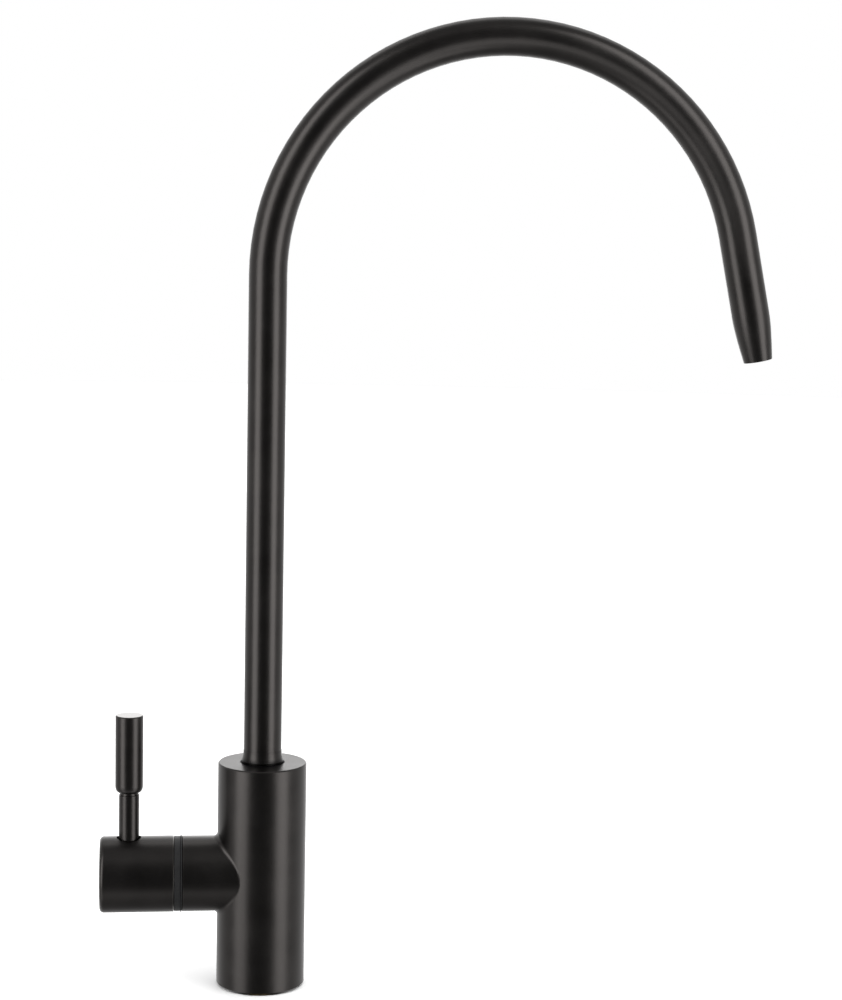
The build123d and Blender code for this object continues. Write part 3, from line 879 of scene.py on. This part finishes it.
class FILTER_TAP_OT_finish_seals(bpy.types.Operator):
    """Give the rubber, the acetal and the ceramic their finishes"""

    bl_idname = "filter_tap.finish_seals"
    bl_label = "Finish Seals and Discs"
    bl_options = {"REGISTER", "UNDO"}

    def execute(self, context):
        settings = context.scene.filter_tap_fitting
        rubber = moulded(
            "matt_rubber", settings.rubber_color, roughness=0.72,
            grain_width=0.0003, grain_depth=0.00001, tone=0.2,
        )
        black_acetal = moulded(
            "black_acetal", settings.black_acetal_color, roughness=0.48,
            grain_width=0.0002, grain_depth=0.000004, tone=0.2, ior=1.4,
        )
        glide_ring = moulded(
            "matt_glide_ring", settings.glide_ring_color, roughness=0.62,
            grain_width=0.0002, grain_depth=0.000006, tone=0.2, ior=1.2,
        )
        white_acetal = moulded(
            "natural_acetal", settings.white_acetal_color, roughness=0.42,
            grain_width=0.0002, grain_depth=0.000004,
        )
        ceramic = moulded(
            "lapped_ceramic", settings.ceramic_color, roughness=0.22,
            grain_width=0.0004, grain_depth=0.000001, tone=0.04, ior=1.76,
        )
        put_on(rubber, *rubber_pieces)
        put_on(black_acetal, "bonnet_gasket", "bonnet_ring")
        put_on(glide_ring, "spout_glide_ring")
        put_on(white_acetal, "spout_thrust_washer", "stem_glide_washer")
        put_on(ceramic, "fixed_ceramic_disc", "moving_ceramic_disc")
        return {"FINISHED"}


# Modelling steps

def start_piece():
    """Leaves edit mode and deselects everything"""
    if bpy.context.object is not None and bpy.context.object.mode != "OBJECT":
        bpy.ops.object.mode_set(mode="OBJECT")
    bpy.ops.object.select_all(action="DESELECT")


def select_only(piece):
    """Makes the piece the one selected object"""
    start_piece()
    piece.select_set(True)
    bpy.context.view_layer.objects.active = piece


def settle(piece):
    """Puts the piece's place into its mesh, with its object at the origin"""
    select_only(piece)
    bpy.ops.object.transform_apply(location=True, rotation=True, scale=True)


def apply_all_modifiers(piece):
    """Applies the piece's modifiers, first to last"""
    select_only(piece)
    for name in [modifier.name for modifier in piece.modifiers]:
        bpy.ops.object.modifier_apply(modifier=name)


def cut_or_join(piece, tool, operation):
    """Cuts the tool out of the piece, joins the two, or keeps what they share"""
    step = piece.modifiers.new("cut", "BOOLEAN")
    step.operation = operation
    step.solver = "EXACT"
    step.object = tool
    apply_all_modifiers(piece)
    start_piece()
    bpy.data.objects.remove(tool)


def rod(name, radius, low, high, chamfer_low=0.0, chamfer_high=0.0, sides=96):
    """A round rod along Z, with a chamfer at each end that has one"""
    start_piece()
    middle = (0, 0, (low + high) / 2)
    bpy.ops.mesh.primitive_cylinder_add(vertices=sides, radius=radius, depth=high - low, location=middle)
    piece = bpy.context.object
    piece.name = name
    settle(piece)
    for height, chamfer in ((low, chamfer_low), (high, chamfer_high)):
        if not chamfer:
            continue
        bpy.ops.object.mode_set(mode="EDIT")
        bpy.ops.mesh.select_mode(type="EDGE")
        bpy.ops.mesh.select_all(action="DESELECT")
        mesh = bmesh.from_edit_mesh(piece.data)
        for edge in mesh.edges:
            edge.select_set(all(abs(corner.co.z - height) < level_tolerance for corner in edge.verts))
        bmesh.update_edit_mesh(piece.data)
        bpy.ops.mesh.bevel(offset=chamfer, segments=1, affect="EDGES")
        bpy.ops.object.mode_set(mode="OBJECT")
    return piece


def threaded_rod(name, diameter, pitch, low, high, chamfer_low, chamfer_high, sides=72):
    """A rod along Z with a right-hand V thread all along it"""
    root, flank, crest = pitch / 4, pitch * 5 / 16, pitch / 8
    depth = flank / tan(radians(30))
    radius = diameter / 2
    spare_turns = 2
    start_piece()
    bpy.ops.mesh.primitive_plane_add(size=pitch, location=(radius - depth, 0, low - spare_turns * pitch))
    piece = bpy.context.object
    piece.name = name
    settle(piece)
    bpy.ops.object.mode_set(mode="EDIT")
    bpy.ops.mesh.select_mode(type="VERT")
    bpy.ops.mesh.select_all(action="SELECT")
    bpy.ops.mesh.merge(type="CENTER")
    for out, up in ((0, root), (depth, flank), (0, crest), (-depth, flank)):
        bpy.ops.mesh.extrude_region_move(TRANSFORM_OT_translate={"value": (out, 0, up)})
    bpy.ops.object.mode_set(mode="OBJECT")
    turns = piece.modifiers.new("turns", "SCREW")
    turns.axis = "Z"
    turns.angle = 2 * pi
    turns.steps = turns.render_steps = sides
    turns.screw_offset = pitch
    turns.iterations = int((high - low) / pitch) + 2 * spare_turns
    turns.use_smooth_shade = False
    apply_all_modifiers(piece)
    bpy.ops.object.mode_set(mode="EDIT")
    bpy.ops.mesh.select_all(action="SELECT")
    bpy.ops.mesh.remove_doubles(threshold=pitch / 100)
    for height, facing in ((low - pitch / 2, -1), (high + pitch / 2, 1)):
        bpy.ops.mesh.select_all(action="SELECT")
        bpy.ops.mesh.bisect(
            plane_co=(0, 0, height),
            plane_no=(0, 0, facing),
            use_fill=True,
            clear_outer=True,
            threshold=pitch / 10000,
        )
    bpy.ops.mesh.select_all(action="SELECT")
    bpy.ops.mesh.normals_make_consistent(inside=False)
    bpy.ops.object.mode_set(mode="OBJECT")
    outside = rod(name + "_outside", radius + depth / 10, low, high, chamfer_low, chamfer_high)
    cut_or_join(piece, outside, "INTERSECT")
    return piece


def check_closed(piece):
    """Raises an error if the piece is empty or has an edge without exactly two faces"""
    mesh = bmesh.new()
    mesh.from_mesh(piece.data)
    closed = len(mesh.faces) > 0 and all(edge.is_manifold for edge in mesh.edges)
    mesh.free()
    if not closed:
        raise RuntimeError(piece.name + " is not a closed mesh")


def smooth_by_angle(piece, angle=radians(30)):
    """Smooth shading, with the edges over that angle kept sharp"""
    select_only(piece)
    bpy.ops.object.shade_smooth_by_angle(angle=angle)


class FILTER_TAP_OT_cut_shank(bpy.types.Operator):
    """Cut the shank's two threads and its waterway, in place of the plain shank"""

    bl_idname = "filter_tap.cut_shank"
    bl_label = "Cut Shank"
    bl_options = {"REGISTER", "UNDO"}

    def execute(self, context):
        size = context.scene.filter_tap_shank
        chamfer = size.end_chamfer
        groove_chamfer = 0.0003
        into_tail, into_thread = 0.0002, 0.002
        beyond_end = 0.001
        top, bottom = shank_high[2], shank_low[2]
        tail_top = bottom + size.tail_length
        thread_bottom = tail_top + size.relief_length
        thread, pitch = size.thread_diameter, size.thread_pitch
        shank = threaded_rod("shank_threads", thread, pitch, thread_bottom, top, groove_chamfer, chamfer)
        groove = size.relief_diameter / 2
        relief_core = rod("relief_core", groove, tail_top - into_tail, thread_bottom + into_thread)
        cut_or_join(shank, relief_core, "UNION")
        thread, pitch = size.tail_diameter, size.tail_pitch
        tail = threaded_rod("tail_threads", thread, pitch, bottom, tail_top, chamfer, groove_chamfer)
        cut_or_join(shank, tail, "UNION")
        waterway = rod("waterway", size.bore_diameter / 2, bottom - beyond_end, top + beyond_end)
        cut_or_join(shank, waterway, "DIFFERENCE")
        socket = rod("tube_socket", size.socket_diameter / 2, bottom - beyond_end, bottom + size.socket_depth)
        cut_or_join(shank, socket, "DIFFERENCE")
        check_closed(shank)
        smooth_by_angle(shank)
        color = context.scene.filter_tap_fitting.brass_color
        brass = bare_metal("brass_shank", color, roughness=0.27, axis="Z")
        shank.data.materials.clear()
        shank.data.materials.append(brass)
        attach(shank, "tap_body")
        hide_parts("threaded_shank")
        return {"FINISHED"}


class FILTER_TAP_OT_set_stage(bpy.types.Operator):
    """Lay the pale floor with its hole for the shank, and set the lights and the camera"""

    bl_idname = "filter_tap.set_stage"
    bl_label = "Set Stage"
    bl_options = {"REGISTER", "UNDO"}

    def execute(self, context):
        settings = context.scene.filter_tap_stage
        self.lay_floor(settings)
        self.set_surroundings(context.scene, settings)
        self.hang_lights(settings)
        self.set_camera(context.scene, settings)
        return {"FINISHED"}

    def lay_floor(self, settings):
        start_piece()
        edge = settings.floor_hole
        bpy.ops.mesh.primitive_circle_add(vertices=96, radius=edge, location=(0, 0, -floor_drop))
        floor = bpy.context.object
        floor.name = "floor"
        settle(floor)
        bpy.ops.object.mode_set(mode="EDIT")
        bpy.ops.mesh.select_all(action="SELECT")
        bpy.ops.mesh.extrude_region_move(TRANSFORM_OT_translate={"value": (0, 0, 0)})
        share = settings.floor_radius / edge
        bpy.ops.transform.resize(value=(share, share, 1), center_override=(0, 0, 0))
        bpy.ops.mesh.select_all(action="SELECT")
        bpy.ops.mesh.normals_make_consistent(inside=False)
        bpy.ops.object.mode_set(mode="OBJECT")
        finish, tree, shader = new_finish("pale_floor")
        grain = speckle(tree, object_place(tree), floor_grain_width, 2.0, (-500, 0))
        pale = two_tone(tree, grain, settings.floor_color, 0.01, (-120, 200))
        tree.links.new(pale, shader.inputs["Base Color"])
        shader.inputs["Roughness"].default_value = 0.8
        floor.data.materials.append(finish)
        floor.visible_glossy = False
        floor.visible_shadow = False

    def set_surroundings(self, scene, settings):
        world = bpy.data.worlds.new("studio")
        scene.world = world
        world.use_nodes = True
        tree = world.node_tree
        tree.nodes.clear()
        output = tree.nodes.new("ShaderNodeOutputWorld")
        output.location = (600, 0)
        direction = tree.nodes.new("ShaderNodeTexCoord").outputs["Generated"]
        behind = tree.nodes.new("ShaderNodeVectorMath")
        behind.operation = "DOT_PRODUCT"
        behind.inputs[1].default_value = (sin(settings.camera_yaw) / 2, cos(settings.camera_yaw) / 2, 0)
        tree.links.new(direction, behind.inputs[0])
        around = self.tone_curve(tree, calculate(tree, "ADD", behind.outputs["Value"], 0.5), around_tones)
        half_height = calculate(tree, "MULTIPLY", split_place(tree, direction, (0, 0))["Z"], 0.5)
        height = calculate(tree, "ADD", half_height, 0.5)
        tone = tree.nodes.new("ShaderNodeMix")
        tree.links.new(self.tone_curve(tree, height, updown_shares), tone.inputs["Factor"])
        tree.links.new(around, tone.inputs["A"])
        tree.links.new(self.tone_curve(tree, height, updown_tones), tone.inputs["B"])
        studio = tree.nodes.new("ShaderNodeBackground")
        tree.links.new(tone.outputs["Result"], studio.inputs["Color"])
        white = tree.nodes.new("ShaderNodeBackground")
        white.inputs["Color"].default_value = (1, 1, 1, 1)
        seen = tree.nodes.new("ShaderNodeLightPath")
        mix = tree.nodes.new("ShaderNodeMixShader")
        tree.links.new(seen.outputs["Is Camera Ray"], mix.inputs["Fac"])
        tree.links.new(studio.outputs["Background"], mix.inputs[1])
        tree.links.new(white.outputs["Background"], mix.inputs[2])
        tree.links.new(mix.outputs["Shader"], output.inputs["Surface"])

    def tone_curve(self, tree, value, stops):
        """Grey levels along a value from 0 to 1"""
        ramp = tree.nodes.new("ShaderNodeValToRGB")
        ramp.color_ramp.interpolation = "EASE"
        while len(ramp.color_ramp.elements) < len(stops):
            ramp.color_ramp.elements.new(0.5)
        for element, (place, tone) in zip(ramp.color_ramp.elements, stops):
            element.position = place
            element.color = (tone, tone, tone, 1)
        tree.links.new(value, ramp.inputs["Fac"])
        return ramp.outputs["Color"]

    def hang_lights(self, settings):
        start_piece()
        bpy.ops.object.light_add(type="SUN", location=(0, 0, settings.strip_top))
        soft = bpy.context.object
        soft.name = "soft_light"
        soft.data.energy = settings.daylight
        soft.data.angle = settings.daylight_angle
        soft.visible_glossy = False
        towards_camera = atan2(settings.camera_place[0], settings.camera_place[1])
        width, bright = settings.strip_width, settings.strip_brightness
        top, bottom, glow_bottom = settings.strip_top, settings.strip_bottom, settings.glow_bottom
        for side, place, share in ((-1, "right", settings.glow_share), (1, "left", settings.glow_share_left)):
            bearing = towards_camera + side * settings.strip_angle
            out = Vector((sin(bearing), cos(bearing), 0))
            middle = out * settings.strip_distance
            middle.z = (bottom + top) / 2
            self.hang_panel("strip_light_" + place, middle, out, (width, top - bottom), bright)
            middle.z = (glow_bottom + bottom) / 2
            size = (width, bottom - glow_bottom)
            self.hang_panel("table_light_" + place, middle, out, size, bright * share)
        aim = Vector((0, 0, settings.top_aim))
        spot = self.seen_place(settings, settings.top_place)
        light = self.hang_panel("top_light", spot, spot - aim, settings.top_size, settings.top_brightness)
        light.visible_diffuse = False
        spot = self.seen_place(settings, settings.front_place)
        down = Vector((0, 0, -1))
        light = self.hang_panel("front_light", spot, down, settings.front_size, settings.front_brightness)
        light.visible_diffuse = False

    def seen_place(self, settings, place):
        """The place that is so far to the right, to the back and up, as the camera looks"""
        right = Vector((cos(settings.camera_yaw), -sin(settings.camera_yaw), 0))
        back = Vector((sin(settings.camera_yaw), cos(settings.camera_yaw), 0))
        return right * place[0] + back * place[1] + Vector((0, 0, place[2]))

    def hang_panel(self, name, spot, away, size, bright):
        """A light whose back faces that way, with its power for a square metre"""
        start_piece()
        turn = away.to_track_quat("Z", "Y").to_euler()
        bpy.ops.object.light_add(type="AREA", location=spot, rotation=turn)
        panel = bpy.context.object
        panel.name = name
        panel.data.shape = "RECTANGLE"
        panel.data.size = size[0]
        panel.data.size_y = size[1]
        panel.data.energy = bright * size[0] * size[1]
        panel.visible_camera = False
        return panel

    def set_camera(self, scene, settings):
        start_piece()
        bpy.ops.object.camera_add()
        camera = bpy.context.object
        camera.name = "camera"
        camera.data.lens = settings.camera_lens
        camera.data.sensor_width = settings.camera_sensor
        yaw, pitch, roll = settings.camera_yaw, settings.camera_pitch, settings.camera_roll
        ahead = Vector((sin(yaw) * cos(pitch), cos(yaw) * cos(pitch), sin(pitch)))
        level = Vector((cos(yaw), -sin(yaw), 0))
        upright = level.cross(ahead)
        right = level * cos(roll) + upright * sin(roll)
        up = -level * sin(roll) + upright * cos(roll)
        turn = Matrix((right, up, -ahead)).transposed().to_4x4()
        camera.matrix_world = Matrix.Translation(settings.camera_place) @ turn
        camera.data.clip_start = settings.camera_near
        camera.data.clip_end = settings.camera_far
        scene.camera = camera
        scene.view_settings.view_transform = "Standard"


class FILTER_TAP_PT_sidebar(bpy.types.Panel):
    """The tap's settings and steps"""

    bl_idname = "FILTER_TAP_PT_sidebar"
    bl_label = "Filter Tap"
    bl_space_type = "VIEW_3D"
    bl_region_type = "UI"
    bl_category = "Filter Tap"

    def draw(self, context):
        layout = self.layout
        scene = context.scene
        for title, settings, steps in (
            ("Coating", scene.filter_tap_coating, ("coat_body", "coat_handle", "coat_spout")),
            ("Fittings", scene.filter_tap_fitting, ("finish_metals", "finish_seals")),
            ("Shank", scene.filter_tap_shank, ("cut_shank",)),
            ("Stage", scene.filter_tap_stage, ("set_stage",)),
        ):
            box = layout.box()
            box.label(text=title)
            for name in settings.bl_rna.properties.keys():
                if name not in {"rna_type", "name"}:
                    box.prop(settings, name)
            for step in steps:
                box.operator("filter_tap." + step)


classes = (
    CoatingSettings,
    FittingSettings,
    ShankSettings,
    StageSettings,
    FILTER_TAP_OT_coat_body,
    FILTER_TAP_OT_coat_handle,
    FILTER_TAP_OT_coat_spout,
    FILTER_TAP_OT_finish_metals,
    FILTER_TAP_OT_finish_seals,
    FILTER_TAP_OT_cut_shank,
    FILTER_TAP_OT_set_stage,
    FILTER_TAP_PT_sidebar,
)


def register():
    for kind in classes:
        bpy.utils.register_class(kind)
    bpy.types.Scene.filter_tap_coating = bpy.props.PointerProperty(type=CoatingSettings)
    bpy.types.Scene.filter_tap_fitting = bpy.props.PointerProperty(type=FittingSettings)
    bpy.types.Scene.filter_tap_shank = bpy.props.PointerProperty(type=ShankSettings)
    bpy.types.Scene.filter_tap_stage = bpy.props.PointerProperty(type=StageSettings)


def unregister():
    del bpy.types.Scene.filter_tap_stage
    del bpy.types.Scene.filter_tap_shank
    del bpy.types.Scene.filter_tap_fitting
    del bpy.types.Scene.filter_tap_coating
    for kind in reversed(classes):
        bpy.utils.unregister_class(kind)


def main():
    register()
    bpy.ops.filter_tap.coat_body()
    bpy.ops.filter_tap.coat_handle()
    bpy.ops.filter_tap.coat_spout()
    bpy.ops.filter_tap.finish_metals()
    bpy.ops.filter_tap.finish_seals()
    bpy.ops.filter_tap.cut_shank()
    bpy.ops.filter_tap.set_stage()
    start_piece()


if __name__ == "__main__":
    main()
